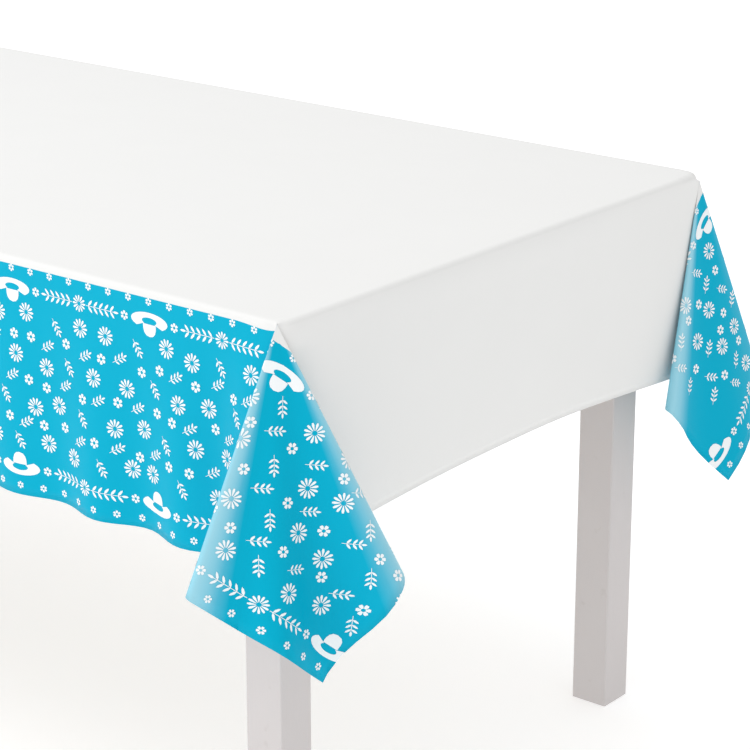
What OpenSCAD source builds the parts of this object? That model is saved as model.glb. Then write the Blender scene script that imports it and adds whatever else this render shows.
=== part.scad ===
// A rectangular table under a printed party tablecloth that is a size too big
// for it, so the cloth falls straight down the long sides and the ends and
// the spare square at each corner hangs as a folded flap.
// X runs along the table, Y across it, Z up, with the origin on the floor.

/* [Table] */
// Length of the table top
top_l = 1631; // [1500:1:1700]
// Width of the table top
top_w = 809; // [720:1:860]
// Thickness of the table top
top_t = 28; // [22:1:36]
// Height of the bare table top above the floor
top_h = 718.7; // [650:0.1:800]
// Radius of the table top's corners, seen from above
corner_r = 21.5; // [16:0.5:40]
// Radius of the table top's upper edge
edge_r = 5.5; // [3:0.5:7]
// Side of a square leg
leg_w = 52; // [44:1:64]
// Distance from the edge of the top to a leg's outer face
leg_inset = 52; // [40:1:70]
// Radius of a leg's long edges
leg_edge_r = 2; // [1:0.5:4]

/* [Aprons] */
// Height of the aprons under the top
apron_h = 85; // [75:1:110]
// Thickness of the aprons
apron_t = 18; // [15:1:20]

/* [Hardware] */
// Distance from a leg's centre to its corner bracket
bracket_d = 53; // [50:1:60]
// Height of a corner bracket
bracket_h = 60; // [50:1:66]
// Thickness of the pressed steel of brackets and clips
steel_t = 2; // [1.5:0.5:3]
// Radius of the hanger bolts
bolt_r = 4; // [3:0.5:5]
// Radius of the wood screws' shanks
screw_r = 2; // [1.5:0.25:2.5]
// Distance of the outer clips from the middle of the long aprons
clip_gap = 450; // [200:10:550]
// Radius of the round glides under the legs
glide_r = 16; // [12:1:20]
// Thickness of the glides
glide_t = 2.5; // [2:0.5:5]

/* [Cloth] */
// Length of the cloth when it lies flat
sheet_l = 2134; // [2050:1:2200]
// Width of the cloth when it lies flat
sheet_w = 1372; // [1300:1:1420]
// Thickness of the cloth solid
cloth_t = 1; // [0.8:0.1:1.4]
// Room between the cloth and the table top's edges
side_gap = 0.5; // [0.3:0.1:1]
// Room between the cloth and the table top's upper face
rest_gap = 0.3; // [0.2:0.1:0.5]
// Angle that the drops lean out by along their middles
drop_lean = 1.5; // [0:0.5:4]
// Stretch of a drop beside a corner over which its lean changes
lean_run = 250; // [150:10:350]

/* [Hidden] */
$fn = 48;

// Legs and aprons: an apron's inner face lies in the plane of the leg's centre.
leg_x = top_l / 2 - leg_inset - leg_w / 2;
leg_y = top_w / 2 - leg_inset - leg_w / 2;
leg_top = top_h - top_t;
CORNERS = [[-1, -1], [1, -1], [-1, 1], [1, 1]];

// Hardware
bolt_from = 8;
bolt_to = bracket_d + 26;
bolt_z = leg_top - apron_h / 2;
washer_r = 2.2 * bolt_r;
washer_t = 1.6;
nut_r = 1.9 * bolt_r;
nut_t = 1.6 * bolt_r;
flange_l = 24;
screw_l = 14;
screw_head_r = 4;
screw_head_t = 2;
screw_row = 17;
clip_l = 30;
clip_w = 22;
clip_hole = 18;
nail_r = 1.25;
nail_l = 14;

// Cloth: the sheet bends over the edge on an arc that ends at hinge_z, and
// hangs from the two hinge lines. Their crossing is the top of a corner flap.
out_l = top_l + 2 * (side_gap + cloth_t);
out_w = top_w + 2 * (side_gap + cloth_t);
out_h = top_h + rest_gap + cloth_t;
bend_r = edge_r + side_gap + cloth_t;
round_r = corner_r + side_gap + cloth_t;
hinge_z = out_h - bend_r;
lap = 2;
hinge_x = (out_l - cloth_t) / 2;
hinge_y = (out_w - cloth_t) / 2;
side_fall = (sheet_w - out_w) / 2 + bend_r - PI / 2 * bend_r;
end_fall = (sheet_l - out_l) / 2 + bend_r - PI / 2 * bend_r;
tip_fall = norm([side_fall, end_fall]);

// A flap is a fan of creases from its top. Each crease is [swing, lean]: the
// swing turns it sideways and the lean brings it out, in a frame that faces
// the flap's own way. The front-right flap faces out between the two drops.
near_face = -45;
near_start = [-8, 8];
near_left = [-20.7, 11.4];
near_tip = [4, 13.2];
near_right = [24, 11.4];
near_end = [-0.5, 1];
near_left_turn = 16;
near_right_turn = 63;
// The back-right flap lies almost flat along the end drop.
far_face = 10;
far_start = [4, 5];
far_left = [-20, 8.4];
far_tip = [1, 10.4];
far_right = [22, 8.4];
far_end = [8, 1];
far_left_turn = 27;
far_right_turn = 72;

function crease(face, c) = [
    cos(face) * sin(c[1]) - sin(face) * sin(c[0]) * cos(c[1]),
    sin(face) * sin(c[1]) + cos(face) * sin(c[0]) * cos(c[1]),
    -cos(c[0]) * cos(c[1])
];
function turned(p) = [-p[0], -p[1], p[2]];

NEAR_TOP = [hinge_x, -hinge_y, hinge_z];
FAR_TOP = [hinge_x, hinge_y, hinge_z];

// Lower ends of the creases, where each meets the hem
near_hem = [
    NEAR_TOP + side_fall * crease(near_face, near_start),
    NEAR_TOP + side_fall / cos(near_left_turn) * crease(near_face, near_left),
    NEAR_TOP + tip_fall * crease(near_face, near_tip),
    NEAR_TOP + end_fall / sin(near_right_turn) * crease(near_face, near_right),
    NEAR_TOP + end_fall * crease(near_face, near_end)
];
far_hem = [
    FAR_TOP + end_fall * crease(far_face, far_start),
    FAR_TOP + end_fall / cos(far_left_turn) * crease(far_face, far_left),
    FAR_TOP + tip_fall * crease(far_face, far_tip),
    FAR_TOP + side_fall / sin(far_right_turn) * crease(far_face, far_right),
    FAR_TOP + side_fall * crease(far_face, far_end)
];

// ---- Shared shapes ----

module round_rect(l, w, r) {
    square([l - 2 * r, w], center = true);
    square([l, w - 2 * r], center = true);
    for (x = [-1, 1], y = [-1, 1])
        translate([x * (l / 2 - r), y * (w / 2 - r)])
            circle(r);
}

// Runs a section, the child, round the edge of a slab with round corners. The
// section's own origin is on the axis of the edge's radius re, at height z.
module along_edge(l, w, rc, re, z) {
    for (turn = [0, 90, 180, 270]) {
        half_out = (turn % 180 == 0 ? l : w) / 2;
        half_along = (turn % 180 == 0 ? w : l) / 2;
        rotate(turn) {
            translate([half_out - re, half_along - rc, z])
                rotate([90, 0, 0])
                    linear_extrude(2 * (half_along - rc))
                        children();
            translate([half_out - rc, half_along - rc, z])
                rotate_extrude(angle = 90)
                    translate([rc - re, 0])
                        children();
        }
    }
}

// A slab with round corners and a round upper edge, standing on z = 0
module soft_slab(l, w, t, rc, re) {
    linear_extrude(t - re)
        round_rect(l, w, rc);
    translate([0, 0, t - re])
        linear_extrude(re)
            round_rect(l - 2 * re, w - 2 * re, rc - re);
    along_edge(l, w, rc, re, t - re)
        intersection() {
            circle(re);
            square(re);
        }
}

// Children are drawn at a leg's centre, with +X pointing in along the diagonal
module at_leg(sx, sy) {
    translate([sx * leg_x, sy * leg_y, 0])
        rotate(atan2(-sy, -sx))
            children();
}

// A rod along +X of the leg's own frame
module bolt_rod(r, from, to) {
    translate([from, 0, bolt_z])
        rotate([0, 90, 0])
            cylinder(r = r, h = to - from);
}

// A screw with its head's underside at the origin and its shank along +Z
module screw_shank() {
    cylinder(r = screw_r, h = screw_l);
}

module screw() {
    screw_shank();
    translate([0, 0, -screw_head_t])
        cylinder(r1 = 0.7 * screw_head_r, r2 = screw_head_r, h = screw_head_t);
}

// Places its children at each screw of one corner bracket
module at_bracket_screws() {
    for (side = [-1, 1], row = [-1, 1])
        rotate(45 * side)
            translate([bracket_d * sqrt(2) + 0.6 * flange_l, -side * steel_t, bolt_z + row * screw_row])
                rotate([-90 * side, 0, 0])
                    children();
}

// Places its children at each clip, with +X pointing in from the apron
module at_clips() {
    for (side = [-1, 1]) {
        for (x = [-clip_gap, 0, clip_gap])
            translate([x, side * leg_y, leg_top])
                rotate(-90 * side)
                    children();
        translate([side * leg_x, 0, leg_top])
            rotate(90 + 90 * side)
                children();
    }
}

module at_clip_screws() {
    translate([steel_t, 0, -clip_hole])
        rotate([0, -90, 0])
            children();
    translate([clip_hole, 0, -steel_t])
        children();
}

// ---- The table ----

module table_top() {
    color("burlywood")
        difference() {
            translate([0, 0, leg_top])
                soft_slab(top_l, top_w, top_t, corner_r, edge_r);
            at_clips() at_clip_screws() screw_shank();
        }
}

module leg(sx, sy) {
    color("gainsboro")
        difference() {
            translate([sx * leg_x, sy * leg_y, glide_t])
                linear_extrude(leg_top - glide_t)
                    round_rect(leg_w, leg_w, leg_edge_r);
            at_leg(sx, sy)
                bolt_rod(bolt_r, bolt_from, bolt_to);
            at_leg(sx, sy)
                cylinder(r = nail_r, h = glide_t + nail_l);
        }
}

module apron(size, pos) {
    color("gainsboro")
        difference() {
            translate(pos)
                translate([-size[0] / 2, -size[1] / 2, 0])
                    cube(size);
            for (c = CORNERS)
                at_leg(c[0], c[1])
                    at_bracket_screws()
                        screw_shank();
            at_clips() at_clip_screws() screw_shank();
        }
}

module long_apron(sy) {
    apron([2 * leg_x - leg_w, apron_t, apron_h], [0, sy * (leg_y + apron_t / 2), leg_top - apron_h]);
}

module short_apron(sx) {
    apron([apron_t, 2 * leg_y - leg_w, apron_h], [sx * (leg_x + apron_t / 2), 0, leg_top - apron_h]);
}

module glide(sx, sy) {
    color("dimgray")
        at_leg(sx, sy) {
            cylinder(r1 = glide_r - 1, r2 = glide_r, h = 1);
            translate([0, 0, 1]) cylinder(r = glide_r, h = glide_t - 1);
            cylinder(r = nail_r, h = glide_t + nail_l);
        }
}

// ---- Hardware under the top ----

module bracket(sx, sy) {
    color("silver")
        at_leg(sx, sy)
            difference() {
                translate([0, 0, bolt_z - bracket_h / 2])
                    linear_extrude(bracket_h) {
                        translate([bracket_d, -bracket_d])
                            square([steel_t, 2 * bracket_d]);
                        for (side = [-1, 1])
                            rotate(45 * side)
                                translate([bracket_d * sqrt(2), side > 0 ? -steel_t : 0])
                                    square([flange_l, steel_t]);
                    }
                bolt_rod(bolt_r + 0.5, bracket_d - 1, bolt_to);
                at_bracket_screws()
                    translate([0, 0, -1])
                        cylinder(r = screw_r + 0.3, h = steel_t + 1);
            }
}

module hanger_bolts() {
    color("silver")
        for (c = CORNERS)
            at_leg(c[0], c[1])
                bolt_rod(bolt_r, bolt_from, bolt_to);
}

module bolt_washers() {
    color("silver")
        for (c = CORNERS)
            at_leg(c[0], c[1])
                difference() {
                    bolt_rod(washer_r, bracket_d + steel_t, bracket_d + steel_t + washer_t);
                    bolt_rod(bolt_r + 0.2, bracket_d, bolt_to);
                }
}

module bolt_nuts() {
    nut_from = bracket_d + steel_t + washer_t;
    color("silver")
        for (c = CORNERS)
            at_leg(c[0], c[1])
                difference() {
                    translate([nut_from, 0, bolt_z])
                        rotate([0, 90, 0])
                            cylinder(r = nut_r, h = nut_t, $fn = 6);
                    bolt_rod(bolt_r, bracket_d, bolt_to);
                }
}

module bracket_screws() {
    color("silver")
        for (c = CORNERS)
            at_leg(c[0], c[1])
                at_bracket_screws()
                    screw();
}

module clip() {
    difference() {
        union() {
            translate([0, -clip_w / 2, -clip_l])
                cube([steel_t, clip_w, clip_l]);
            translate([0, -clip_w / 2, -steel_t])
                cube([clip_l, clip_w, steel_t]);
        }
        at_clip_screws()
            translate([0, 0, -1])
                cylinder(r = screw_r + 0.3, h = steel_t + 1);
    }
}

module top_clips() {
    color("silver")
        at_clips()
            clip();
}

module clip_screws() {
    color("silver")
        at_clips()
            at_clip_screws()
                screw();
}

// ---- The cloth ----

// A flat piece of cloth with its middle plane on the given corners
module panel(p) {
    k = len(p);
    across = cross(p[1] - p[0], p[2] - p[0]);
    half = across / norm(across) * cloth_t / 2;
    polyhedron(
        concat([for (q = p) q - half], [for (q = p) q + half]),
        concat(
            [[for (i = [0 : k - 1]) i]],
            [[for (i = [k - 1 : -1 : 0]) k + i]],
            [for (i = [0 : k - 1]) [i, k + i, k + (i + 1) % k, (i + 1) % k]]
        )
    );
}

// The folded corner: one flat triangle between each crease and the next
module flap(top, hem) {
    for (i = [0 : len(hem) - 2])
        panel([top, hem[i], hem[i + 1]]);
}

// A drop from one corner to the next: straight along its middle, with its
// lean changing beside each corner to meet the flap there. out points away
// from the table.
module drop(from, to, from_hem, to_hem, fall, out) {
    along = (to - from) / norm(to - from);
    a = from + along * lean_run;
    b = to - along * lean_run;
    down = out * sin(drop_lean) - [0, 0, cos(drop_lean)];
    panel([a, b, b + fall * down, a + fall * down]);
    panel([from, a, from_hem]);
    panel([a, a + fall * down, from_hem]);
    panel([b, to, to_hem]);
    panel([b, to_hem, b + fall * down]);
}

// Section through the bend: a quarter ring and a short straight lap below it
module bend_section() {
    intersection() {
        difference() {
            circle(bend_r);
            circle(bend_r - cloth_t);
        }
        square(bend_r);
    }
    translate([bend_r - cloth_t, -lap])
        square([cloth_t, lap]);
}

// The part that lies on the top and bends over its edge
module cloth_cap() {
    translate([0, 0, out_h - cloth_t])
        linear_extrude(cloth_t)
            round_rect(out_l - 2 * bend_r, out_w - 2 * bend_r, round_r - bend_r);
    along_edge(out_l, out_w, round_r, bend_r, hinge_z)
        bend_section();
}

module tablecloth() {
    color("deepskyblue") {
        cloth_cap();
        for (turn = [0, 180])
            rotate(turn) {
                drop(turned(FAR_TOP), NEAR_TOP, turned(far_hem[4]), near_hem[0], side_fall, [0, -1, 0]);
                drop(NEAR_TOP, FAR_TOP, near_hem[4], far_hem[0], end_fall, [1, 0, 0]);
                flap(NEAR_TOP, near_hem);
                flap(FAR_TOP, far_hem);
            }
    }
}

tablecloth();
table_top();
leg(-1, -1);  // leg_front_left
leg(1, -1);  // leg_front_right
leg(-1, 1);  // leg_back_left
leg(1, 1);  // leg_back_right
long_apron(-1);  // apron_front
long_apron(1);  // apron_back
short_apron(-1);  // apron_left
short_apron(1);  // apron_right
bracket(-1, -1);  // bracket_front_left
bracket(1, -1);  // bracket_front_right
bracket(-1, 1);  // bracket_back_left
bracket(1, 1);  // bracket_back_right
hanger_bolts();
bolt_washers();
bolt_nuts();
bracket_screws();
top_clips();
clip_screws();
glide(-1, -1);  // glide_front_left
glide(1, -1);  // glide_front_right
glide(-1, 1);  // glide_back_left
glide(1, 1);  // glide_back_right
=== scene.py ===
# %% [markdown]
# # A printed party tablecloth on a table
# The cloth is one thin printed sheet, cut to a standard size and laid over a table that is
# smaller than it. It lies flat on the top, bends over the edges, falls straight down the long
# sides and the ends, and the spare square at each corner hangs as a folded flap. The table
# under it comes ready from the frame, so this script makes the cloth, its print, every finish,
# the floor, the light and the camera.

# %% Load the frame
import math

import bpy
import numpy as np
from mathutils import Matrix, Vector


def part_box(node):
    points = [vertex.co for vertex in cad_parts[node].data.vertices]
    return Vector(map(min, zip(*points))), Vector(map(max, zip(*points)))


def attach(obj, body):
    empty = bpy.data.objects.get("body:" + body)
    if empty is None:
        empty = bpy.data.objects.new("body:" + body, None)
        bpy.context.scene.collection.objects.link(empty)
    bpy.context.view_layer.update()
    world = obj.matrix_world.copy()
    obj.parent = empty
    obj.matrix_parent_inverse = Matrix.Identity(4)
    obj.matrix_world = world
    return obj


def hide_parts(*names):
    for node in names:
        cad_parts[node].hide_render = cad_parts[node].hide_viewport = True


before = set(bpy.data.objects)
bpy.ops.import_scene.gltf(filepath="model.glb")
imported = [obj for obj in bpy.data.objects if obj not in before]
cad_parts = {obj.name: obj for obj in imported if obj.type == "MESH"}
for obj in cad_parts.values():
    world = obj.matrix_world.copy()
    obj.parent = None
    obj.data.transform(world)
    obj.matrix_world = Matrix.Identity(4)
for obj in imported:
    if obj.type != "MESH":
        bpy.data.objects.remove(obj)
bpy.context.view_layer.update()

# %% [markdown]
# ## Sizes
# The table's size comes from the frame: the cloth's outer face stands a hair outside the slab.
# The cloth's own size is how it was cut, and everything about the drape follows from the two.
# Lengths are in metres. U runs along the cloth and V across it, from its middle.

# %% Sizes of the table and of the flat cloth
slab_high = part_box("table_top")[1]
CLOTH_OUT = 0.0015  # from the slab's edge to the cloth's outer face
HALF_L = slab_high.x + CLOTH_OUT
HALF_W = slab_high.y + CLOTH_OUT
TOP_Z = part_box("tablecloth")[1].z
SHEET_L = 2.134
SHEET_W = 1.372
BEND_R = 0.007  # radius of the bend over the slab's edge
GATHER = 0.012  # the drops' nets start this far in from the edge
SIDE_FALL = SHEET_W / 2 - (HALF_W - GATHER)
END_FALL = SHEET_L / 2 - (HALF_L - GATHER)
TIP_TURN = math.degrees(math.atan2(END_FALL, SIDE_FALL))
BAND_START = 0.017  # from there down to the printed band's straight edge
print(f"table {2 * HALF_L:.3f} x {2 * HALF_W:.3f} x {TOP_Z:.3f}, falls {SIDE_FALL:.3f} and {END_FALL:.3f}")

# %% [markdown]
# ## Corner flaps
# Where two drops meet, the cloth can't stretch, so the spare square folds. All its creases run
# to one point at the top, which makes the flap a cone: every line from that point stays
# straight. A cone is fully told by how its lines swing as we walk round the quarter circle of
# cloth, and cloth doesn't stretch, so a walk of 90 degrees on the flat sheet is a walk of 90
# degrees in space. The walk is drawn like a turtle's: straight runs are the flat layers and
# half turns are the round folds between them. Swing is sideways, lean is outwards.

# %% The turtle's walk round a flap
def walk_points(start, heading, moves):
    """Knots of a walk: (turn on the flat sheet, swing, lean), all in degrees. A move is (kind,
    amount, radius): a run goes on by its amount, and a fold bends by it round its radius."""
    swing, lean = start
    turn = 0.0
    knots = [(turn, swing, lean)]
    for kind, amount, radius in moves:
        steps = max(2, round(amount / 2.5)) if kind == "run" else 10
        for _ in range(steps):
            if kind == "run":
                step = amount / steps
                swing += step * math.cos(math.radians(heading))
                lean += step * math.sin(math.radians(heading))
            else:
                bend = amount / steps
                step = abs(math.radians(bend)) * radius
                chord = 2 * radius * math.sin(abs(math.radians(bend)) / 2)
                heading += bend / 2
                swing += chord * math.cos(math.radians(heading))
                lean += chord * math.sin(math.radians(heading))
                heading += bend / 2
            turn += step
            knots.append((turn, swing, lean))
    return np.array(knots)


TIGHT = 0.9  # radius of the tightest folds, in degrees
near_walk = walk_points(
    (-10.7, 3.6), 66,
    [("fold", 133, TIGHT), ("run", 9.6, 0), ("fold", -183, 1.3), ("run", 42.1, 0),
     ("fold", -172, 2.6), ("run", 22.3, 0), ("fold", 132, TIGHT)],
)
far_walk = walk_points(
    (1.9, 3.2), 8,
    [("fold", 179, TIGHT), ("run", 22.6, 0), ("fold", -173, 1.2), ("run", 36.6, 0),
     ("fold", -158, 1.8), ("run", 18.4, 0), ("fold", 63, TIGHT)],
)
for name, walk in (("near", near_walk), ("far", far_walk)):
    print(name, "walk is", round(walk[-1][0], 1), "degrees, ends at", walk[-1][1:].round(1))


# %% Directions in space
def direction(face, swing, lean):
    """Unit vector of a line of a flap that faces the compass angle face, in degrees."""
    f, s, t = math.radians(face), np.radians(swing)[..., None], np.radians(lean)[..., None]
    out = np.array([math.cos(f), math.sin(f), 0.0])
    side = np.array([-math.sin(f), math.cos(f), 0.0])
    down = np.array([0.0, 0.0, -1.0])
    return side * np.sin(s) * np.cos(t) + out * np.sin(t) + down * np.cos(s) * np.cos(t)


# The near flap faces out of its corner, and the far one lies nearly flat along the end. The
# slab's edge holds a flap's first and last line back by hold, and the lines between them by
# gather. The last entry gives how strong the painted highlight is on each of its two wide folds.
NEAR = {
    "face": -24.0, "walk": near_walk, "hold": 0.0105, "gather": 0.001, "fold_highlights": (0.85, 0.85),
    "top": np.array([HALF_L - 0.0085, -(HALF_W - 0.003), TOP_Z - 0.002]),
}
FAR = {
    "face": 8.0, "walk": far_walk, "hold": 0.020, "gather": 0.002, "fold_highlights": (0.85, 0.15),
    "top": np.array([HALF_L - 0.003, HALF_W - 0.0035, TOP_Z - 0.011]),
}


def walk_at(walk, turn):
    """Swing and lean at a turn, with the walk stretched to end at exactly 90 degrees."""
    turns = walk[:, 0] * 90 / walk[-1, 0]
    return np.interp(turn, turns, walk[:, 1]), np.interp(turn, turns, walk[:, 2])


def turned(p):
    """A point turned half a turn about the table's middle."""
    return p * np.array([-1.0, -1.0, 1.0])


# %% [markdown]
# ## The drape, patch by patch
# The sheet is divided along four lines into nine patches: the middle, two side drops, two end
# drops and four corner squares. Each patch is a net of small cells, which know both their place
# on the flat sheet and their place in space. The corner squares' nets run along the flap's own
# lines, so every fold is smooth with few cells. The print is laid on these cells later.

# %% Nets
def levels():
    """Shares of the fall at which the drops' nets have a line: fine over the bend."""
    bend = np.array([0.0, 0.0025, 0.005, 0.0072, 0.0094, 0.0116, 0.0138, 0.0154, BAND_START])
    below = BAND_START + (SIDE_FALL - BAND_START) * np.linspace(0, 1, 24)[1:]
    return np.concatenate([bend, below]) / SIDE_FALL


def spread(half, step):
    """Lines across the flat sheet, a step apart in the middle and closer towards both ends."""
    ends = np.array([0, 0.002, 0.004, 0.0065, 0.0095, 0.0135, 0.019, 0.027, 0.037])
    inner = half - ends[-1] - step * 0.9
    n = int(round(2 * inner / step))
    return np.concatenate([-half + ends, np.linspace(-inner, inner, n + 1), half - ends[::-1]])


LEVELS = levels()
U_LINES = spread(HALF_L - GATHER, 0.012)
V_LINES = spread(HALF_W - GATHER, 0.012)


def ease(x):
    x = np.clip(x, 0, 1)
    return x * x * (3 - 2 * x)


def near_edge(x, edge, run):
    """1 at the edge, easing to 0 at a distance run from it."""
    return ease(1 - np.abs(edge - x) / run)


def over_edge(s, lean):
    """How far out and how high a point is, for a length s down the cloth from the gather line
    and a lean in degrees."""
    flat = GATHER - BEND_R
    angle = np.clip((s - flat) / BEND_R, 0, math.pi / 2)
    out = np.where(s < flat, s - GATHER, -BEND_R + BEND_R * np.sin(angle))
    fallen = np.maximum(s - flat - BEND_R * math.pi / 2, 0)
    out = out + fallen * np.sin(np.radians(lean))
    height = TOP_Z - BEND_R * (1 - np.cos(angle)) - fallen * np.cos(np.radians(lean))
    return out, height


# %% Hold of the slab's edge
HELD_TURN = 11.0  # turn beside a flap's first and last line over which the hold eases off


def slide(s, hold):
    """Length down a flap's first line for a length s down the drop beside it: the edge of the
    slab holds the first part back, and further down the two run alike."""
    return np.where(s < 2 * hold, s * s / (4 * hold), s - hold)


# %% One drop
CORNER_RUN = 0.045  # stretch beside a corner over which a drop bends to the flap's line
WAVE_RUN = 0.12  # stretch beside a corner over which the waves grow to their full size


def drop_net(half_out, half_along, fall, along_lines, rest_lean, lean_run, low, high, wave):
    """Net of a drop as [level, along] -> (along, out, height). low and high give the flap's top
    and first line at either end as (along, out, height); wave is (size, length, phase)."""
    s = (LEVELS * fall)[:, None]
    x = along_lines[None, :]
    edge = half_along - GATHER
    lean = rest_lean + (low["lean"] - rest_lean) * near_edge(x, -edge, lean_run) ** 1.5
    lean = lean + (high["lean"] - rest_lean) * near_edge(x, edge, lean_run) ** 1.5
    out, height = over_edge(s + 0 * x, lean)
    size, length, phase = wave
    window = (1 - near_edge(x, -edge, WAVE_RUN)) * (1 - near_edge(x, edge, WAVE_RUN))
    swell = size * (s / fall) ** 1.6 * window
    swell = swell * (1 + 0.25 * np.sin(2 * math.pi * x / (3.7 * length)))
    out = out + swell * np.cos(2 * math.pi * (x - phase) / length)
    along = x + 0 * s
    net = np.stack([along, out + half_out, height], -1)
    for end, sign in ((low, -1), (high, 1)):
        wanted = end["top"] + slide(s, end["hold"]) * end["line"]
        column = net[:, 0 if sign < 0 else -1]
        share = near_edge(x, sign * edge, CORNER_RUN)[..., None]
        net = net + share * (wanted - column)[:, None, :]
    return net


def local_end(flap, turn, along_axis, out_axis, half_turn=1.0):
    """A flap's top and its first or last line seen in a drop's own axes: along, out, height."""
    to_local = np.array([along_axis, out_axis, [0, 0, 1.0]]) * np.array([half_turn, half_turn, 1.0])
    line = flap_line(flap, turn)
    return {
        "top": to_local @ flap["top"], "line": to_local @ line, "hold": flap["hold"],
        "lean": math.degrees(math.atan2(float((to_local @ line)[1]), -float(line[2]))),
    }


def flap_line(flap, turn):
    swing, lean = walk_at(flap["walk"], np.array(turn))
    return direction(flap["face"], swing, lean)


X_AXIS, Y_AXIS = np.array([1.0, 0, 0]), np.array([0, 1.0, 0])
side_net = drop_net(
    HALF_W, HALF_L, SIDE_FALL, U_LINES, -0.7, 0.1,
    local_end(FAR, 90.0, X_AXIS, -Y_AXIS, -1.0), local_end(NEAR, 0.0, X_AXIS, -Y_AXIS),
    (0.0078, 0.133, HALF_L - 0.144),
)
end_net = drop_net(
    HALF_L, HALF_W, END_FALL, V_LINES, -2.2, 0.36,
    local_end(NEAR, 90.0, Y_AXIS, X_AXIS), local_end(FAR, 0.0, Y_AXIS, X_AXIS),
    (0.006, 1.12, 0.637),
)
print("side net", side_net.shape, "end net", end_net.shape)


# %% One corner square
def reach_of(turns, first_fall, second_fall):
    """Length of a flap's lines on the flat sheet, from its top to the hem."""
    return np.minimum(first_fall / np.maximum(np.cos(np.radians(turns)), 1e-9),
                      second_fall / np.maximum(np.sin(np.radians(turns)), 1e-9))


def flap_net(flap, first_fall, second_fall, wave):
    """Net of a corner square as [level, turn] -> point, and its turns. first_fall is the fall of
    the drop where the walk starts. wave is (size, length, phase, from, to), all in degrees."""
    corner = math.degrees(math.atan2(second_fall, first_fall))
    turns = np.sort(np.append(flap["walk"][:, 0] * 90 / flap["walk"][-1, 0], corner))
    swing, lean = walk_at(flap["walk"], turns)
    size, length, phase, low, high = wave
    window = ease((turns - low) / 5) * ease((high - turns) / 5)
    level = LEVELS[:, None]
    lean = lean + size * level ** 1.5 * window * np.cos(2 * math.pi * (turns - phase) / length)
    rho = level * reach_of(turns, first_fall, second_fall)
    held = ease(1 - turns / HELD_TURN) + ease(1 - (90 - turns) / HELD_TURN)
    free = slide(rho, flap["gather"])
    rho = free + held * (slide(rho, flap["hold"]) - free)
    points = flap["top"] + rho[..., None] * direction(flap["face"], swing + 0 * level, lean)
    return points, turns


near_net, near_turns = flap_net(NEAR, SIDE_FALL, END_FALL, (4.0, 23.6, 32.0, 23.0, 66.0))
far_net, far_turns = flap_net(FAR, END_FALL, SIDE_FALL, (1.2, 26.0, 53.0, 30.0, 70.0))
print("near flap", near_net.shape, "tip at", near_net[-1, np.argmin(abs(near_turns - TIP_TURN))].round(3))


# %% [markdown]
# ## One mesh
# Each patch becomes a grid of points with a flat place (u, v). Half of the sheet is made here,
# and the other half is the same turned by half a turn, as the sheet is folded alike at opposite
# corners. Points that neighbouring patches share have the same flat place, so they are merged
# by it, and the sheet is one surface with no seam.

# %% Patches with flat and space coordinates
def grid(flat_u, flat_v, points):
    return {"flat": np.stack(np.broadcast_arrays(flat_u, flat_v), -1), "points": points}


def flat_flap(turns, first_fall, second_fall):
    """Flat distances from the flap's top along the first and the second drop's own fall."""
    rho = LEVELS[:, None] * reach_of(turns, first_fall, second_fall)
    return rho * np.cos(np.radians(turns)), rho * np.sin(np.radians(turns))


def middle_patch():
    u, v = np.meshgrid(U_LINES, V_LINES, indexing="ij")
    points = np.stack([u, v, np.full_like(u, TOP_Z)], -1)
    edge_u, edge_v = HALF_L - GATHER, HALF_W - GATHER
    corners = [(1, -1, NEAR["top"]), (1, 1, FAR["top"])]
    corners += [(-su, -sv, turned(top)) for su, sv, top in corners]
    for su, sv, top in corners:
        share = near_edge(u, su * edge_u, CORNER_RUN) * near_edge(v, sv * edge_v, CORNER_RUN)
        flat_corner = np.array([su * edge_u, sv * edge_v, TOP_Z])
        points = points + share[..., None] * (top - flat_corner)
    return grid(u, v, points)


def half_patches():
    """The side drop at -Y, the end drop at +X and the two corner squares at +X."""
    edge_u, edge_v = HALF_L - GATHER, HALF_W - GATHER
    fall_v = (LEVELS * SIDE_FALL)[:, None]
    fall_u = (LEVELS * END_FALL)[:, None]
    side = side_net * np.array([1, -1, 1])
    end = end_net[..., [1, 0, 2]]
    near_v, near_u = flat_flap(near_turns, SIDE_FALL, END_FALL)
    far_u, far_v = flat_flap(far_turns, END_FALL, SIDE_FALL)
    return [
        grid(U_LINES[None, :], -(edge_v + fall_v), side),
        grid(edge_u + fall_u, V_LINES[None, :], end),
        grid(edge_u + near_u, -(edge_v + near_v), near_net),
        grid(edge_u + far_u, edge_v + far_v, far_net),
    ]


patches = [middle_patch()]
for patch in half_patches():
    patches.append(patch)
    patches.append({"flat": -patch["flat"], "points": turned(patch["points"])})
print(len(patches), "patches,", sum(p["flat"].shape[0] * p["flat"].shape[1] for p in patches), "points")


# %% Merge the patches
def merge(all_patches):
    flat = np.concatenate([p["flat"].reshape(-1, 2) for p in all_patches])
    points = np.concatenate([p["points"].reshape(-1, 3) for p in all_patches])
    key = np.round(flat * 1e6).astype(np.int64)
    _, first, index = np.unique(key, axis=0, return_index=True, return_inverse=True)
    index = index.reshape(-1)
    at = 0
    for p in all_patches:
        n = p["flat"].shape[0] * p["flat"].shape[1]
        p["index"] = index[at:at + n].reshape(p["flat"].shape[:2])
        at += n
    return flat[first], points[first]


sheet_flat, sheet_points = merge(patches)


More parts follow.
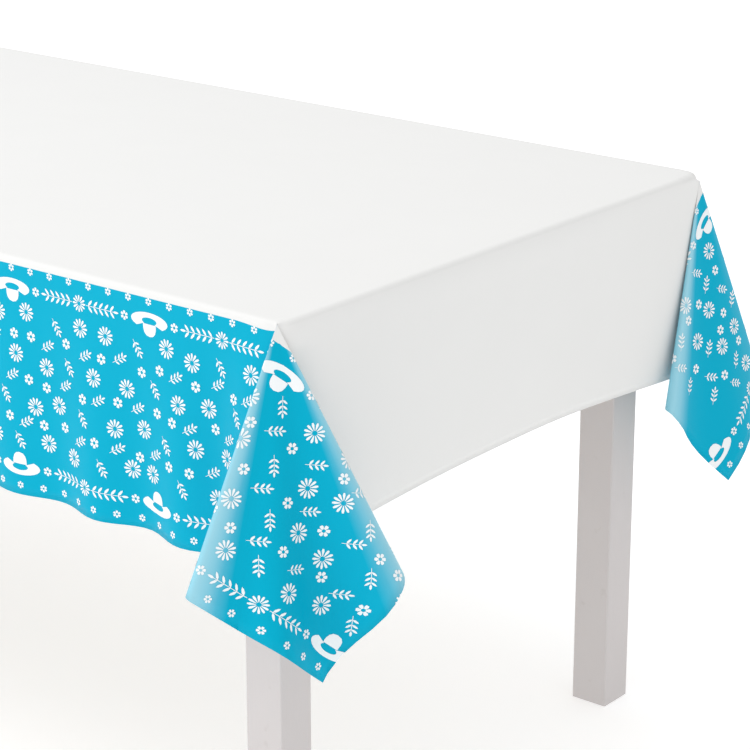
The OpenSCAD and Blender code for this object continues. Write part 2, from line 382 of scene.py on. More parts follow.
def cells(all_patches):
    """Triangles as tuples of point numbers, wound so that the printed side faces out."""
    faces = []
    for p in all_patches:
        i = p["index"]
        f = p["flat"]
        quads = np.stack([i[:-1, :-1], i[1:, :-1], i[1:, 1:], i[:-1, 1:]], -1).reshape(-1, 4)
        a = f[:-1, :-1].reshape(-1, 2)
        c = f[1:, 1:].reshape(-1, 2)
        b = f[1:, :-1].reshape(-1, 2)
        d = f[:-1, 1:].reshape(-1, 2)
        turn = (c - a)[:, 0] * (d - b)[:, 1] - (c - a)[:, 1] * (d - b)[:, 0]
        for quad, way in zip(quads.tolist(), turn):
            if way < 0:
                quad.reverse()
            for loop in (quad[:3], [quad[0], quad[2], quad[3]]):
                if len(set(loop)) == 3:
                    faces.append(tuple(loop))
    return faces


sheet_faces = cells(patches)
print(len(sheet_points), "points,", len(sheet_faces), "cells")

# %% [markdown]
# ## Let it settle
# The patches meet at the right places but with a kink at the corners. Cloth rounds such kinks
# off by itself. Here each point near a flap's top moves a little towards the middle of its
# neighbours, again and again, and a point that would sink into the slab is put back on it.

# %% Neighbours
def edge_list(faces):
    pairs = set()
    for loop in faces:
        for a, b in zip(loop, loop[1:] + loop[:1]):
            pairs.add((min(a, b), max(a, b)))
    return np.array(sorted(pairs))


sheet_edges = edge_list(sheet_faces)
edge_pull = 1 / np.linalg.norm(sheet_flat[sheet_edges[:, 0]] - sheet_flat[sheet_edges[:, 1]], axis=1)
whole_pull = np.zeros(len(sheet_points))
for end in (0, 1):
    np.add.at(whole_pull, sheet_edges[:, end], edge_pull)


def neighbour_mean(points):
    """Mean of each point's neighbours, nearer ones counting more, so an uneven net stays put."""
    total = np.zeros_like(points)
    for end in (0, 1):
        np.add.at(total, sheet_edges[:, end], points[sheet_edges[:, 1 - end]] * edge_pull[:, None])
    return total / whole_pull[:, None]


# %% Keep off the slab
SLAB_CORNER = 0.0215 + CLOTH_OUT  # the cloth's radius round the slab's corners, from above
SLAB_EDGE = BEND_R
SLAB_DEPTH = 0.03  # the slab and the cloth on it


def off_slab(points):
    """Moves each point that is inside the slab's rounded outline back to its surface."""
    core = np.array([HALF_L - SLAB_CORNER, HALF_W - SLAB_CORNER])
    plan = points[:, :2]
    beyond = plan - np.clip(plan, -core, core)
    reach = np.linalg.norm(beyond, axis=1)
    ring = SLAB_CORNER - SLAB_EDGE
    out = np.maximum(reach - ring, 0)
    up = np.maximum(points[:, 2] - (TOP_Z - SLAB_EDGE), 0)
    deep = (points[:, 2] > TOP_Z - SLAB_DEPTH) & (np.hypot(out, up) < SLAB_EDGE)
    inside = deep & (reach < SLAB_CORNER)
    side_way = beyond / np.maximum(reach, 1e-9)[:, None]
    moved = points.copy()
    low = inside & (points[:, 2] <= TOP_Z - SLAB_EDGE)
    moved[low, :2] += side_way[low] * (SLAB_CORNER - reach[low])[:, None]
    high = inside & ~low
    size = np.maximum(np.hypot(out, up), 1e-9)
    push = (SLAB_EDGE - size)[:, None]
    moved[high, :2] += (side_way * (out / size)[:, None] * push)[high]
    moved[high, 2] += ((up / size) * push[:, 0])[high]
    return moved


SETTLE_REACH, SETTLE_SHARE, SETTLE_ROUNDS = 0.05, 0.6, 24
tops = np.array([NEAR["top"], FAR["top"], turned(NEAR["top"]), turned(FAR["top"])])
to_top = np.min(np.linalg.norm(sheet_points[:, None, :] - tops[None], axis=-1), axis=1)
loose = SETTLE_SHARE * ease(1 - to_top / SETTLE_REACH)[:, None]
for _ in range(SETTLE_ROUNDS):
    sheet_points = sheet_points + loose * (neighbour_mean(sheet_points) - sheet_points)
    sheet_points = off_slab(sheet_points)
print("points that settled", int((loose > 0).sum()))


# %% Build the sheet
def mesh_object(name, points, faces):
    mesh = bpy.data.meshes.new(name)
    mesh.from_pydata(np.asarray(points).tolist(), [], faces)
    mesh.polygons.foreach_set("use_smooth", [True] * len(faces))
    mesh.update()
    obj = bpy.data.objects.new(name, mesh)
    bpy.context.scene.collection.objects.link(obj)
    return obj


def cut_at_band(flat, points, faces):
    """Splits the triangles that the print's straight edge crosses, so the edge is sharp."""
    flat, points = flat.tolist(), points.tolist()
    made = {}

    def between(a, b, level):
        key = (min(a, b), max(a, b))
        if key not in made:
            t = (level - flat[a][1]) / (flat[b][1] - flat[a][1])
            made[key] = len(flat)
            flat.append([flat[a][i] + t * (flat[b][i] - flat[a][i]) for i in range(2)])
            points.append([points[a][i] + t * (points[b][i] - points[a][i]) for i in range(3)])
        return made[key]

    out = []
    for face in faces:
        level = math.copysign(BAND_EDGE, sum(flat[i][1] for i in face))
        side = [0 if abs(flat[i][1] - level) < 1e-6 else math.copysign(1, flat[i][1] - level) for i in face]
        if min(side) * max(side) >= 0:
            out.append(face)
            continue
        loop = []
        for k in range(3):
            a, b = face[k], face[(k + 1) % 3]
            loop.append(a)
            if side[k] * side[(k + 1) % 3] < 0:
                loop.append(between(a, b, level))
        for sign in (-1, 1):
            part = [i for i in loop if (flat[i][1] - level) * sign > -1e-6]
            out += [(part[0], part[k], part[k + 1]) for k in range(1, len(part) - 1)]
    return np.array(flat), np.array(points), out


BAND_EDGE = HALF_W - GATHER + BAND_START
cut_flat, cut_points, cut_faces = cut_at_band(sheet_flat, sheet_points, sheet_faces)
cloth = mesh_object("printed_tablecloth", cut_points, cut_faces)
plain_sheet = mesh_object("plain_sheet", sheet_points, sheet_faces)
sheet_normals = np.array([n.vector for n in plain_sheet.data.vertex_normals])
bpy.data.objects.remove(plain_sheet)
print("sheet area", round(sum(p.area for p in cloth.data.polygons), 3), "flat", round(SHEET_L * SHEET_W, 3))

# %% [markdown]
# ## Flat map and painted fold highlights
# Every point keeps two facts for the finish. Its place on the flat sheet becomes the UV map, so
# a pattern follows the cloth round every fold. The second is how near it is to the round fold
# at either side of a flap, where a pale colour is painted on as the highlight the curved film catches.

# %% UV map and painted fold highlights
def front_layer(flap):
    """Turns at which a flap's front layer starts and ends: halfway round its two wide folds."""
    walk = flap["walk"]
    turns = walk[:, 0] * 90 / walk[-1, 0]
    low, high = np.argmin(walk[:, 1]), np.argmax(walk[:, 1])
    return turns[low], turns[high]


def painted_fold_highlight(flat):
    """Painted highlight: highest on the folds at either side of each flap's front layer, easing to 0 within
    it.
    """
    highlight = np.zeros(len(flat))
    corners = ((NEAR, 1, (1, -1)), (NEAR, 1, (-1, 1)), (FAR, 0, (1, 1)), (FAR, 0, (-1, -1)))
    for flap, first_axis, corner in corners:
        beyond = flat * np.array(corner) - np.array([HALF_L - GATHER, HALF_W - GATHER])
        inside = beyond.min(axis=1) > 0
        first, second = beyond[:, first_axis], beyond[:, 1 - first_axis]
        turn = np.degrees(np.arctan2(second, np.maximum(first, 1e-9)))
        low, high = front_layer(flap)
        left = flap["fold_highlights"][0] * ease(1 - np.abs(turn - low - 1.5) / 7.5)
        right = flap["fold_highlights"][1] * ease(1 - np.abs(turn - high + 1.5) / 8.5)
        near_top = ease(np.hypot(first, second) / 0.05)
        highlight = np.where(inside, np.maximum(left, right) * near_top, highlight)
    return highlight


def set_flat_map(obj, flat):
    layer = obj.data.uv_layers.new(name="flat")
    index = np.zeros(len(obj.data.loops), np.int32)
    obj.data.loops.foreach_get("vertex_index", index)
    uv = flat[index] / np.array([SHEET_L, SHEET_W]) + 0.5
    layer.data.foreach_set("uv", uv.ravel().astype(np.float32))


set_flat_map(cloth, cut_flat)
# Strength of the painted highlight along the flaps' folds, kept on each point for the film's finish
highlight_layer = cloth.data.attributes.new("painted_fold_highlight", "FLOAT", "POINT")
highlight_layer.data.foreach_set("value", painted_fold_highlight(cut_flat).astype(np.float32))
print("front layers", [tuple(round(float(t), 1) for t in front_layer(f)) for f in (NEAR, FAR)])

# %% [markdown]
# ## Shared surface effects
# All the finishes share a slow uneven tone, and those of the table share a fine relief too, so
# each of the two is a node group made once. A group only gives values that change over the
# surface, and each material joins them to its own shader.

# %% Node group helpers
def new_group(name, inputs, outputs):
    group = bpy.data.node_groups.new(name, "ShaderNodeTree")
    for label, kind, value in inputs:
        socket = group.interface.new_socket(label, in_out="INPUT", socket_type=kind)
        socket.default_value = value
    for label, kind in outputs:
        group.interface.new_socket(label, in_out="OUTPUT", socket_type=kind)
    return group, group.nodes.new("NodeGroupInput"), group.nodes.new("NodeGroupOutput")


def add(tree, kind, **settings):
    node = tree.nodes.new(kind)
    for key, value in settings.items():
        if key in node.inputs:
            node.inputs[key].default_value = value
        else:
            setattr(node, key, value)
    return node


def join(tree, source, output, target, name):
    tree.links.new(source.outputs[output], target.inputs[name])


def noise(tree, vector, scale, detail=3.0):
    """Noise at a number of waves per metre, from a vector output (node, name)."""
    node = add(tree, "ShaderNodeTexNoise", Scale=scale, Detail=detail)
    join(tree, *vector, node, "Vector")
    return node


def ramp_to(tree, source, low, high, to_low, to_high):
    """Maps a value from one range to another, (node, name) in."""
    node = tree.nodes.new("ShaderNodeMapRange")
    for label, value in (("From Min", low), ("From Max", high), ("To Min", to_low), ("To Max", to_high)):
        node.inputs[label].default_value = value
    join(tree, *source, node, "Value")
    return node


def mix_color(tree, factor, first, second):
    """Mix of two colours; factor is (node, name), and a colour is a tuple or (node, name)."""
    node = tree.nodes.new("ShaderNodeMix")
    node.data_type = "RGBA"
    join(tree, *factor, node, 0)
    for slot, value in ((6, first), (7, second)):
        if isinstance(value[0], bpy.types.Node):
            tree.links.new(value[0].outputs[value[1]], node.inputs[slot])
        else:
            node.inputs[slot].default_value = (*value, 1)
    return node


# %% Uneven tone
tone_group, tone_in, tone_out = new_group(
    "uneven tone",
    [("Vector", "NodeSocketVector", (0, 0, 0)), ("Color", "NodeSocketColor", (1, 1, 1, 1)),
     ("Other", "NodeSocketColor", (1, 1, 1, 1)), ("Patches per metre", "NodeSocketFloat", 8.0),
     ("Roughness", "NodeSocketFloat", 0.4), ("Spread", "NodeSocketFloat", 0.05)],
    [("Color", "NodeSocketColor"), ("Roughness", "NodeSocketFloat")],
)
tone_noise = add(tone_group, "ShaderNodeTexNoise", Detail=4.0)
join(tone_group, tone_in, "Vector", tone_noise, "Vector")
join(tone_group, tone_in, "Patches per metre", tone_noise, "Scale")
tone_mix = tone_group.nodes.new("ShaderNodeMix")
tone_mix.data_type = "RGBA"
join(tone_group, tone_noise, "Fac", tone_mix, 0)
tone_group.links.new(tone_in.outputs["Color"], tone_mix.inputs[6])
tone_group.links.new(tone_in.outputs["Other"], tone_mix.inputs[7])
tone_group.links.new(tone_mix.outputs[2], tone_out.inputs["Color"])
tone_swing = add(tone_group, "ShaderNodeMath", operation="SUBTRACT")
join(tone_group, tone_noise, "Fac", tone_swing, 0)
tone_swing.inputs[1].default_value = 0.5
tone_rough = add(tone_group, "ShaderNodeMath", operation="MULTIPLY_ADD")
join(tone_group, tone_swing, 0, tone_rough, 0)
join(tone_group, tone_in, "Spread", tone_rough, 1)
join(tone_group, tone_in, "Roughness", tone_rough, 2)
join(tone_group, tone_rough, 0, tone_out, "Roughness")

# %% Brushed relief
brush_group, brush_in, brush_out = new_group(
    "brushed relief",
    [("Vector", "NodeSocketVector", (0, 0, 0)), ("Stretch", "NodeSocketVector", (1, 1, 1)),
     ("Lines per metre", "NodeSocketFloat", 600.0), ("Strength", "NodeSocketFloat", 0.2)],
    [("Normal", "NodeSocketVector"), ("Lines", "NodeSocketFloat")],
)
brush_stretch = add(brush_group, "ShaderNodeVectorMath", operation="MULTIPLY")
join(brush_group, brush_in, "Vector", brush_stretch, 0)
join(brush_group, brush_in, "Stretch", brush_stretch, 1)
brush_noise = add(brush_group, "ShaderNodeTexNoise", Detail=3.0)
join(brush_group, brush_stretch, 0, brush_noise, "Vector")
join(brush_group, brush_in, "Lines per metre", brush_noise, "Scale")
brush_bump = add(brush_group, "ShaderNodeBump", Distance=0.001)
join(brush_group, brush_noise, "Fac", brush_bump, "Height")
join(brush_group, brush_in, "Strength", brush_bump, "Strength")
join(brush_group, brush_bump, "Normal", brush_out, "Normal")
join(brush_group, brush_noise, "Fac", brush_out, "Lines")
print("groups", [g.name for g in bpy.data.node_groups])


# %% Start of every material
def new_material(name, coat=0.0):
    material = bpy.data.materials.new(name)
    material.use_nodes = True
    tree = material.node_tree
    shader = tree.nodes["Principled BSDF"]
    shader.inputs["Coat Weight"].default_value = coat
    return material, tree, shader


def place_group(tree, group, **values):
    node = tree.nodes.new("ShaderNodeGroup")
    node.node_tree = group
    for label, value in values.items():
        node.inputs[label.replace("_", " ")].default_value = value
    return node


# %% [markdown]
# ## Finish of the film
# The cloth is thin plastic film: even colour, no weave, a satin gloss and very slight ripples
# left by the roller. The turquoise is ink on the outside only, and shows pale through the milky
# inside. On the folds of a flap a pale colour is painted into the ink as the highlight the curved film
# catches.

# %% Film materials
FILM_WHITE = (0.80, 0.80, 0.79)
FILM_TURQUOISE = (0.0, 0.41, 0.60)
# pale colour painted on the flaps' folds as a highlight
FOLD_HIGHLIGHT_PAINT = (0.38, 0.69, 0.80)
PRINT_WHITE = (0.90, 0.93, 0.94)


def film(name, color, other, highlight_paint=None, roughness=0.36, gloss=0.14):
    material, tree, shader = new_material(name)
    place = add(tree, "ShaderNodeTexCoord")
    tone = place_group(tree, tone_group, Color=(*color, 1), Other=(*other, 1), Roughness=roughness,
                       Spread=0.10, Patches_per_metre=9.0)
    join(tree, place, "Object", tone, "Vector")
    # painted highlight: the fold attribute mixes the pale colour into the ink along the flaps' folds
    if highlight_paint:
        highlight = add(tree, "ShaderNodeAttribute", attribute_name="painted_fold_highlight")
        ink = mix_color(tree, (highlight, "Fac"), (tone, "Color"), highlight_paint)
        tree.links.new(ink.outputs[2], shader.inputs["Base Color"])
    else:
        join(tree, tone, "Color", shader, "Base Color")
    join(tree, tone, "Roughness", shader, "Roughness")
    shader.inputs["Specular IOR Level"].default_value = gloss
    slow = noise(tree, (place, "Object"), 14.0)
    fine = noise(tree, (place, "Object"), 420.0)
    both = add(tree, "ShaderNodeMath", operation="MULTIPLY_ADD")
    join(tree, fine, "Fac", both, 0)
    both.inputs[1].default_value = 0.02
    join(tree, slow, "Fac", both, 2)
    bump = add(tree, "ShaderNodeBump", Strength=0.25, Distance=0.002)
    join(tree, both, 0, bump, "Height")
    join(tree, bump, "Normal", shader, "Normal")
    return material


white_film = film("white_film", FILM_WHITE, (0.785, 0.785, 0.775))
turquoise_film = film("turquoise_film", FILM_TURQUOISE, (0.0, 0.395, 0.58), highlight_paint=FOLD_HIGHLIGHT_PAINT, gloss=0.06)
milky_film = film("milky_film", (0.80, 0.82, 0.83), (0.76, 0.80, 0.82), roughness=0.5)
blue_back_film = film("blue_back_film", (0.38, 0.66, 0.74), (0.34, 0.62, 0.71), roughness=0.5)
print_ink = film("print_ink", PRINT_WHITE, (0.86, 0.90, 0.92), roughness=0.42)

# %% [markdown]
# ## Thickness of the film
# Solidify gives the sheet its wall, inwards, so that the printed side stays where it is. Its
# material offset paints the inside with the unprinted finishes.

# %% Give the sheet its thickness
FILM_THICKNESS = 0.0003
for material in (white_film, turquoise_film, milky_film, blue_back_film):
    cloth.data.materials.append(material)
mean_v = np.array([cut_flat[list(f), 1].mean() for f in cut_faces])
cloth.data.polygons.foreach_set("material_index", (np.abs(mean_v) > BAND_EDGE).astype(np.int32))
bpy.ops.object.select_all(action="DESELECT")
cloth.select_set(True)
bpy.context.view_layer.objects.active = cloth
wall = cloth.modifiers.new("wall", "SOLIDIFY")
wall.thickness = FILM_THICKNESS
wall.offset = -1
wall.material_offset = 2
wall.material_offset_rim = 0
bpy.ops.object.modifier_apply(modifier="wall")
print("cloth faces", len(cloth.data.polygons))

# %% [markdown]
# ## The print
# The print is a plain one of daisies, open flowers, leaf sprigs, leafy branches and straw hats.
# Each motif is drawn from convex outlines, in millimetres, as a maker would cut a stencil, and
# all of them stand as thin ink shapes a quarter of a millimetre above the film.

# %% Outlines
def ray(radius, degrees):
    return (radius * math.cos(math.radians(degrees)), radius * math.sin(math.radians(degrees)))


def wedge(inner, widest, outer, inner_half, wide_half, tip_half, at):
    """A petal that points along the angle at: it starts narrow, widens and ends blunt."""
    return [ray(inner, at - inner_half), ray(widest, at - wide_half), ray(outer, at - tip_half),
            ray(outer, at + tip_half), ray(widest, at + wide_half), ray(inner, at + inner_half)]


def moved(shapes, x=0.0, y=0.0, turn=0.0, mirror=1):
    c, s = math.cos(math.radians(turn)), math.sin(math.radians(turn))
    return [[(x + mirror * (px * c - py * s), y + px * s + py * c) for px, py in shape] for shape in shapes]


def daisy(radius):
    k = radius / 11
    return [wedge(2.7 * k, 8.6 * k, 11 * k, 6.5, 9.3, 4.5, 30 * i) for i in range(12)]


def open_flower(radius):
    k = radius / 6.4
    return [wedge(2.1 * k, 5.0 * k, 6.4 * k, 28, 23, 12, 60 * i + 30) for i in range(6)]


def leaf(length, width):
    """A leaf that starts at the origin and points along X."""
    return [(0, 0), (0.35 * length, -0.5 * width), (0.75 * length, -0.42 * width), (length, 0),
            (0.75 * length, 0.42 * width), (0.35 * length, 0.5 * width)]


def bar(x0, y0, x1, y1, width):
    length = math.hypot(x1 - x0, y1 - y0)
    nx, ny = (y0 - y1) / length * width / 2, (x1 - x0) / length * width / 2
    return [(x0 - nx, y0 - ny), (x1 - nx, y1 - ny), (x1 + nx, y1 + ny), (x0 + nx, y0 + ny)]


def ring(outer, inner, count, squash):
    shapes = []
    for i in range(count):
        a, b = 360 * i / count, 360 * (i + 1) / count
        corners = [ray(inner, a), ray(outer, a), ray(outer, b), ray(inner, b)]
        shapes.append([(x, y * squash) for x, y in corners])
    return shapes


# %% Sprig and branch
def sprig(length):
    """A tip leaf and three pairs of leaves on a thin stem along X, from its root at the origin."""
    shapes = [bar(0, 0, 0.8 * length, 0, 0.6)]
    shapes += moved([leaf(0.27 * length, 0.10 * length)], x=0.76 * length)
    for at in (0.18, 0.43, 0.66):
        for side in (-1, 1):
            shapes += moved([leaf(0.30 * length, 0.10 * length)], x=at * length, turn=52 * side)
    return shapes


def branch():
    """A straight leafy branch that grows both ways out of a daisy."""
    arm = [bar(11, 0, 51, 0, 0.7)] + moved([leaf(8.5, 2.8)], x=51)
    for i in range(5):
        for side in (-1, 1):
            arm += moved([leaf(9.5, 2.9)], x=14 + 8.2 * i, turn=50 * side)
    return daisy(9.6) + arm + moved(arm, mirror=-1)


# %% Hat
def hat():
    """A plain straw hat: a wide brim, a crown towards +Y and a band of bare film between them."""
    brim = []
    for shape in ring(27, 11, 24, 0.36):
        x, y = (sum(values) / len(shape) for values in zip(*shape))
        if abs(x) > 14 or y < -2:
            brim.append(shape)
    crown = [(-9.6, 3.6), (9.6, 3.6), (9.4, 9), (8, 13.5), (5, 16.6), (0, 17.8),
             (-5, 16.6), (-8, 13.5), (-9.4, 9)]
    return brim + [crown]


# %% [markdown]
# ## Where the motifs go
# A plain border repeats every 210 mm: a hat, a small flower, a branch, a small flower. It runs
# along the top of the printed band and again, the other way up, along the hem, each time with a
# row of small flowers outside it. Between the two the small motifs stand in rows, with daisies
# and steep sprigs in one row and open flowers and slanting sprigs in the next, each nudged by a
# wave so that no two lines look ruled.

# %% Layout
REPEAT = 210.0
PRINT_TOP = 1000 * HALF_W - 3.0  # flat place from which a motif's y is counted
UPPER_Y, LOWER_Y = 34.0, 249.0


def on_sheet(shapes):
    """Turns band millimetres (x along the sheet, y towards the hem) into flat metres."""
    return [[(x / 1000, -(PRINT_TOP + y) / 1000) for x, y in shape] for shape in shapes]


prints = {
    "print_hats": [], "print_flowers": [], "print_daisies": [], "print_sprigs": [],
    "print_branches": [],
}


def stamp(name, shapes, x, y, turn=0.0, upside=1):
    """Adds a motif; upside -1 stands it on its head."""
    flipped = [[(px, upside * py) for px, py in shape] for shape in moved(shapes, turn=turn)]
    prints[name] += on_sheet(moved(flipped, x=x, y=y))


taken = []
for k in range(-6, 6):
    x = k * REPEAT
    for y, way in ((UPPER_Y, 1), (LOWER_Y, -1)):
        stamp("print_hats", hat(), x, y, upside=way)
        stamp("print_branches", branch(), x + REPEAT / 2, y, upside=way)
        for side in (-1, 1):
            stamp("print_flowers", open_flower(5.4), x + 37 * side, y)
        for i in range(7):
            stamp("print_flowers", open_flower(4.4), x + 30 * i, y - 22 * way)
        taken.append((x, y + 9 * way, 13))

# %% Field rows
FIELD_TOP, ROW_STEP = 65.0, 25.5
ROOM = {"D": 12, "O": 7.5, "S": 10, "R": 10}  # radius that a motif keeps free


def free_place(x, y, radius):
    """The nearest place to a wished one where a motif keeps clear of those already there."""
    for reach in (0, 4, 8, 12):
        for at in range(0, 360, 60):
            nx, ny = x + ray(reach, at)[0], y + ray(reach, at)[1]
            if all(math.hypot(nx - tx, ny - ty) > radius + tr for tx, ty, tr in taken):
                taken.append((nx, ny, radius))
                return nx, ny
    return None


# D is a daisy, O an open flower, S a steep sprig and R a slanting one
for row in (0, 2, 4, 6, 1, 3, 5):
    step, order = (42.0, "DDS") if row % 2 == 0 else (28.0, "OOROROR")
    count = int(1080 / step)
    for k in range(-count, count):
        kind = order[k % len(order)]
        x = step * (k + 0.5) + 11 * row + 0.09 * step * math.cos(1.7 * k + row)
        y = FIELD_TOP + ROW_STEP * row + 5 * math.sin(2.4 * k + 1.3 * row)
        place = free_place(x, y, ROOM[kind])
        if place is None:
            continue
        if kind == "D":
            stamp("print_daisies", daisy(11), *place, turn=15 * (k % 2))
        elif kind == "O":
            stamp("print_flowers", open_flower(6.4), *place)
        else:
            stamp("print_sprigs", moved(sprig(23), x=-11.5), *place, turn=58 if kind == "S" else -30)
print({name: len(shapes) for name, shapes in prints.items()})

# %% [markdown]
# ## Lay the print on the cloth
# The front band's print is laid, and the back band's is the same turned by half a turn. Each
# outline is cut by the cloth's triangles where it lies on the flat sheet. A piece inside one
# triangle is carried to the draped triangle by its place between the three corners, and is
# lifted off along the cloth's own normal. Ink shapes made so can't sink into any fold.

# %% Cells to print on
INK_LIFT = 0.00025
BUCKET = 0.02  # side of the flat squares that the cells are sorted into
printed = [f for f in sheet_faces if max(sheet_flat[i][1] for i in f) < -(BAND_EDGE - 0.03)]
buckets = {}
for number, face in enumerate(printed):
    corner_flat = sheet_flat[list(face)]
    low, high = (corner_flat.min(0) // BUCKET).astype(int), (corner_flat.max(0) // BUCKET).astype(int)
    for bx in range(low[0], high[0] + 1):
        for by in range(low[1], high[1] + 1):
            buckets.setdefault((bx, by), []).append(number)
print("cells", len(printed), "buckets", len(buckets))

flat_list = sheet_flat.tolist()
cell_corners = [[flat_list[i] for i in f] for f in printed]
cell_boxes = []
for corners in cell_corners:
    xs, ys = zip(*corners)
    cell_boxes.append((min(xs), max(xs), min(ys), max(ys)))


# %% Cut an outline by a triangle
def clip(shape, corners):
    """The part of a convex outline inside a triangle that runs anticlockwise."""
    for k in range(3):
        ax, ay = corners[k]
        bx, by = corners[(k + 1) % 3]
        ex, ey = bx - ax, by - ay
        side = [ex * (y - ay) - ey * (x - ax) for x, y in shape]
        if min(side) >= 0:
            continue
        if max(side) <= 0:
            return []
        kept = []
        for i, (x, y) in enumerate(shape):
            j = (i + 1) % len(shape)
            if side[i] >= 0:
                kept.append((x, y))
            if side[i] * side[j] < 0:
                t = side[i] / (side[i] - side[j])
                kept.append((x + t * (shape[j][0] - x), y + t * (shape[j][1] - y)))
        shape = kept
    return shape


def lay(shapes):
    """Ink polygons as (cell number, corners on the flat sheet), one for each part of an outline inside a
    cell.
    """
    pieces = []
    for shape in shapes:
        xs, ys = [p[0] for p in shape], [p[1] for p in shape]
        x0, x1, y0, y1 = min(xs), max(xs), min(ys), max(ys)
        if x1 < -SHEET_L / 2 or x0 > SHEET_L / 2:
            continue
        area = sum(xs[i - 1] * ys[i] - xs[i] * ys[i - 1] for i in range(len(shape)))
        outline = shape if area > 0 else shape[::-1]
        found = set()
        for bx in range(int(x0 // BUCKET), int(x1 // BUCKET) + 1):
            for by in range(int(y0 // BUCKET), int(y1 // BUCKET) + 1):
                found.update(buckets.get((bx, by), ()))
        for number in sorted(found):
            cx0, cx1, cy0, cy1 = cell_boxes[number]
            if cx1 < x0 or cx0 > x1 or cy1 < y0 or cy0 > y1:
                continue
            part = clip(outline, cell_corners[number])
            if len(part) > 2:
                pieces.append((number, part))
    return pieces


def ink_object(name, shapes):
    pieces = lay(shapes)
    cell = np.array([number for number, part in pieces for _ in part])
    place = np.array([p for _, part in pieces for p in part])
    corners = np.array(printed)[cell]
    a, b, c = (sheet_flat[corners[:, k]] for k in range(3))
    whole = (b - a)[:, 0] * (c - a)[:, 1] - (b - a)[:, 1] * (c - a)[:, 0]
    wb = ((place - a)[:, 0] * (c - a)[:, 1] - (place - a)[:, 1] * (c - a)[:, 0]) / whole
    wc = ((b - a)[:, 0] * (place - a)[:, 1] - (b - a)[:, 1] * (place - a)[:, 0]) / whole
    weights = np.stack([1 - wb - wc, wb, wc], -1)[..., None]
    points = (sheet_points[corners] * weights).sum(1)
    normals = (sheet_normals[corners] * weights).sum(1)
    normals /= np.linalg.norm(normals, axis=1)[:, None]
    points = points + INK_LIFT * normals
    faces, at = [], 0
    for _, part in pieces:
        faces.append(tuple(range(at, at + len(part))))
        at += len(part)
    half = len(points)
    points = np.concatenate([points, turned(points)])
    normals = np.concatenate([normals, turned(normals)])
    faces += [tuple(i + half for i in f) for f in faces]
    obj = mesh_object(name, points, faces)
    obj.data.normals_split_custom_set_from_vertices(normals.tolist())
    flat = np.concatenate([place, -place])
    set_flat_map(obj, flat)
    obj.data.materials.append(print_ink)
    return obj


ink_pieces = [ink_object(name, shapes) for name, shapes in prints.items()]
for piece in ink_pieces:
    triangles = sum(len(p.vertices) - 2 for p in piece.data.polygons)
    print(piece.name, "triangles", triangles)

# %% Tell the frame about the cloth
for piece in [cloth] + ink_pieces:
    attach(piece, "cloth")
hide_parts("tablecloth")

# %% [markdown]
# ## Finishes of the table
# The legs and rails are painted wood, and the brush leaves fine lines along each piece, so the
# relief is stretched along the piece's length. The board is lacquered wood with grain along
# it, the brackets and screws are zinc plated, and the glides are plain plastic.

# %% Painted wood
PAINT, PAINT_OTHER = (0.62, 0.585, 0.58), (0.575, 0.54, 0.535)
ALONG = {"x": (0.05, 1, 1), "y": (1, 0.05, 1), "z": (1, 1, 0.05)}


def painted(name, along):
    material, tree, shader = new_material(name)
    place = add(tree, "ShaderNodeTexCoord")
    tone = place_group(tree, tone_group, Color=(*PAINT, 1), Other=(*PAINT_OTHER, 1), Roughness=0.46,
                       Spread=0.16, Patches_per_metre=7.0)
    join(tree, place, "Object", tone, "Vector")
    brush = place_group(tree, brush_group, Stretch=ALONG[along], Lines_per_metre=700.0, Strength=0.35)
    join(tree, place, "Object", brush, "Vector")
    scuffs = noise(tree, (place, "Object"), 55.0, 6.0)
    worn = ramp_to(tree, (scuffs, "Fac"), 0.66, 0.74, 0.0, 0.35)
    color = mix_color(tree, (worn, "Result"), (tone, "Color"), (0.50, 0.46, 0.44))
    tree.links.new(color.outputs[2], shader.inputs["Base Color"])
    join(tree, tone, "Roughness", shader, "Roughness")
    join(tree, brush, "Normal", shader, "Normal")
    return material


leg_finish = painted("leg_paint", "z")
long_rail_finish = painted("long_rail_paint", "x")
short_rail_finish = painted("short_rail_paint", "y")

# %% Lacquered board
board_finish, tree, shader = new_material("top_board", coat=0.25)
shader.inputs["Coat Roughness"].default_value = 0.25
place = add(tree, "ShaderNodeTexCoord")
stretch = add(tree, "ShaderNodeMapping", Scale=(0.12, 1, 1))
join(tree, place, "Object", stretch, "Vector")
grain = add(tree, "ShaderNodeTexWave", Scale=9.0, Distortion=7.0, Detail=3.0, bands_direction="Y")
join(tree, stretch, "Vector", grain, "Vector")
tone = place_group(tree, tone_group, Color=(0.62, 0.47, 0.32, 1), Other=(0.54, 0.39, 0.25, 1),
                   Roughness=0.4, Spread=0.15, Patches_per_metre=12.0)
join(tree, stretch, "Vector", tone, "Vector")
dark = ramp_to(tree, (grain, "Fac"), 0.55, 1.0, 0.0, 0.4)
color = mix_color(tree, (dark, "Result"), (tone, "Color"), (0.40, 0.27, 0.16))
tree.links.new(color.outputs[2], shader.inputs["Base Color"])
join(tree, tone, "Roughness", shader, "Roughness")
relief = place_group(tree, brush_group, Stretch=ALONG["x"], Lines_per_metre=500.0, Strength=0.2)
join(tree, place, "Object", relief, "Vector")
join(tree, relief, "Normal", shader, "Normal")

# %% Zinc plate and plastic
steel_finish, tree, shader = new_material("zinc_plate")
shader.inputs["Metallic"].default_value = 1.0
place = add(tree, "ShaderNodeTexCoord")
tone = place_group(tree, tone_group, Color=(0.66, 0.66, 0.64, 1), Other=(0.52, 0.53, 0.53, 1),
                   Roughness=0.34, Spread=0.25, Patches_per_metre=90.0)
join(tree, place, "Object", tone, "Vector")
relief = place_group(tree, brush_group, Stretch=(1, 1, 0.2), Lines_per_metre=1500.0, Strength=0.12)
join(tree, place, "Object", relief, "Vector")
join(tree, tone, "Color", shader, "Base Color")
join(tree, tone, "Roughness", shader, "Roughness")
join(tree, relief, "Normal", shader, "Normal")

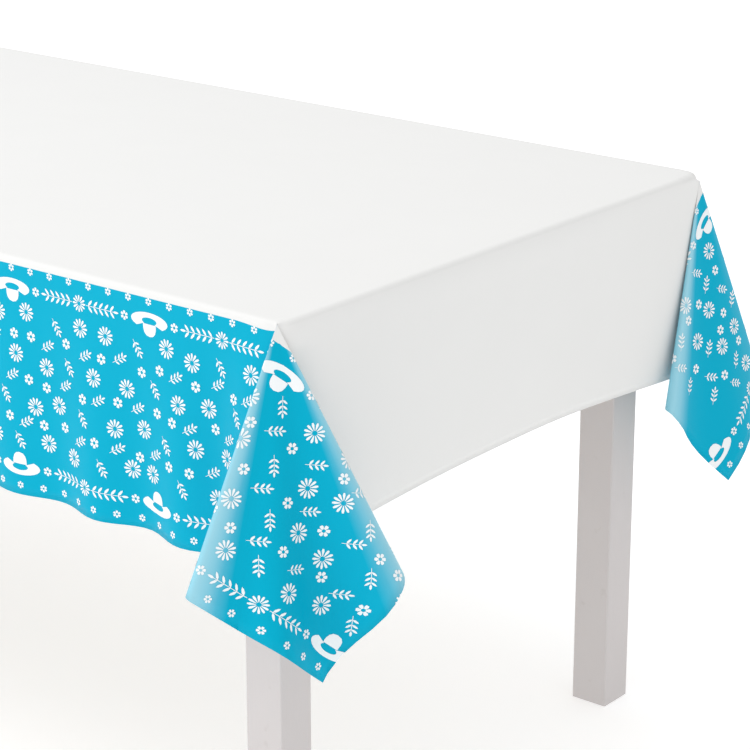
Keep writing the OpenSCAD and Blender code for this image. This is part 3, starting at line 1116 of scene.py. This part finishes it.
glide_finish, tree, shader = new_material("glide_plastic")
place = add(tree, "ShaderNodeTexCoord")
tone = place_group(tree, tone_group, Color=(0.14, 0.14, 0.14, 1), Other=(0.10, 0.10, 0.10, 1),
                   Roughness=0.6, Spread=0.2, Patches_per_metre=200.0)
join(tree, place, "Object", tone, "Vector")
relief = place_group(tree, brush_group, Lines_per_metre=1800.0, Strength=0.2)
join(tree, place, "Object", relief, "Vector")
join(tree, tone, "Color", shader, "Base Color")
join(tree, tone, "Roughness", shader, "Roughness")
join(tree, relief, "Normal", shader, "Normal")

# %% Hand the finishes out
FINISH_OF = {
    "table_top": board_finish, "leg": leg_finish, "apron_front": long_rail_finish,
    "apron_back": long_rail_finish, "apron": short_rail_finish, "glide": glide_finish,
}
for name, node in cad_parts.items():
    if name == "tablecloth":
        continue
    keys = [key for key in FINISH_OF if name.startswith(key)]
    finish = FINISH_OF[max(keys, key=len)] if keys else steel_finish
    node.data.materials.clear()
    node.data.materials.append(finish)
    print(name, "->", finish.name)

# %% [markdown]
# ## Floor, light and camera
# The floor is large, pale and plain. White light comes from all round, as in a tent of white
# cloth, with one big soft lamp above and a small one low in front of the long side, so the top is
# brightest and the end is in soft shade. Standard colour keeps the white of the film white.

# %% Floor
bpy.ops.object.select_all(action="DESELECT")
bpy.ops.mesh.primitive_plane_add(size=40, location=(0, 0, 0))
floor = bpy.context.object
floor.name = "floor"
floor_finish, tree, shader = new_material("floor_paint")
shader.inputs["Base Color"].default_value = (0.72, 0.72, 0.72, 1)
shader.inputs["Roughness"].default_value = 0.9
shader.inputs["Emission Color"].default_value = (1, 1, 1, 1)
shader.inputs["Emission Strength"].default_value = 0.50
floor.data.materials.append(floor_finish)

# %% Light
world = bpy.data.worlds.new("white_tent")
bpy.context.scene.world = world
world.use_nodes = True
world.node_tree.nodes["Background"].inputs["Color"].default_value = (1, 1, 1, 1)
world.node_tree.nodes["Background"].inputs["Strength"].default_value = 0.80
bpy.context.scene.view_settings.view_transform = "Standard"


def lamp(name, where, aim, size, power):
    light = bpy.data.lights.new(name, "AREA")
    light.size = size
    light.energy = power
    obj = bpy.data.objects.new(name, light)
    obj.location = where
    obj.rotation_euler = (Vector(aim) - Vector(where)).to_track_quat("-Z", "Y").to_euler()
    bpy.context.scene.collection.objects.link(obj)
    return obj


lamp("overhead", (-0.8, -1.2, 4.2), (0.2, 0.1, 0.6), 3.5, 74)
lamp("low_front", (-0.6, -4.2, 0.8), (0.5, 0.0, 0.3), 2.2, 20)

# %% Camera
YAW, PITCH = math.radians(38.72), math.radians(18.69)
camera_data = bpy.data.cameras.new("camera")
camera_data.lens = 122.8
camera_data.sensor_width = 36
camera = bpy.data.objects.new("camera", camera_data)
camera.location = (HALF_L + 1.633, -HALF_W - 1.884, TOP_Z + 0.788)
camera.rotation_euler = (math.pi / 2 - PITCH, 0, YAW)
bpy.context.scene.collection.objects.link(camera)
bpy.context.scene.camera = camera
